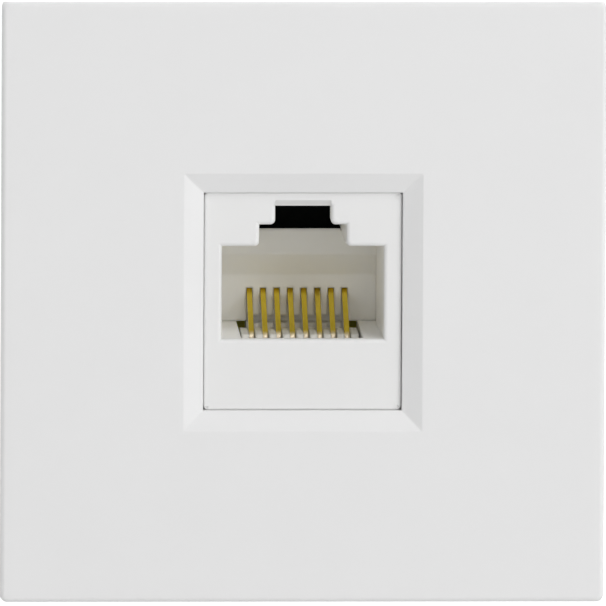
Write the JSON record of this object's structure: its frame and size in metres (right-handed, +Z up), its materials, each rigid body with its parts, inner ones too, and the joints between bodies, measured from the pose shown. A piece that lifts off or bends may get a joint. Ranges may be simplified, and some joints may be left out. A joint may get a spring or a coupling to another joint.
{
  "type": "ethernet wall socket",
  "caption": "Square snap-in wall socket insert: flat white cover plate with a bevelled recess, holding a clip-in modular network jack with spring contacts and rear wire terminals.",
  "frame": {"origin": "centre of the plate on its seat plane, the rear of the rim that lies on the support frame", "axes": "+X to the right seen from the front, +Y into the wall, +Z up"},
  "size_m": [0.045, 0.0274, 0.045],
  "materials": {
    "plate_plastic": "white moulded plastic, satin gloss with a very fine grain",
    "jack_plastic": "white moulded plastic, satin",
    "sled_plastic": "off-white moulded plastic, matt",
    "contact_gold": "gold-plated spring bronze, bright",
    "board_mask": "near-black solder mask on a glass-fibre board",
    "block_plastic": "white moulded plastic, matt",
    "fork_tin": "tin-plated bronze, dull bright",
    "cap_plastic": "white moulded plastic, satin"
  },
  "bodies": {
    "socket": {"cover_plate": "plate_plastic", "jack_housing": "jack_plastic", "contact_sled": "sled_plastic", "circuit_board": "board_mask", "terminal_block": "block_plastic", "spring_contact_1": "contact_gold", "spring_contact_2": "contact_gold", "spring_contact_3": "contact_gold", "spring_contact_4": "contact_gold", "spring_contact_5": "contact_gold", "spring_contact_6": "contact_gold", "spring_contact_7": "contact_gold", "spring_contact_8": "contact_gold", "terminal_fork_1": "fork_tin", "terminal_fork_2": "fork_tin", "terminal_fork_3": "fork_tin", "terminal_fork_4": "fork_tin", "terminal_fork_5": "fork_tin", "terminal_fork_6": "fork_tin", "terminal_fork_7": "fork_tin", "terminal_fork_8": "fork_tin"},
    "upper_cap": {"upper_wire_cap": "cap_plastic"},
    "lower_cap": {"lower_wire_cap": "cap_plastic"}
  },
  "joints": [
    {"name": "upper_cap_pull", "type": "slide", "parent": "socket", "child": "upper_cap", "axis": [0, 1, 0], "range_m": [0, 0.008]},
    {"name": "lower_cap_pull", "type": "slide", "parent": "socket", "child": "lower_cap", "axis": [0, 1, 0], "range_m": [0, 0.008]}
  ]
}
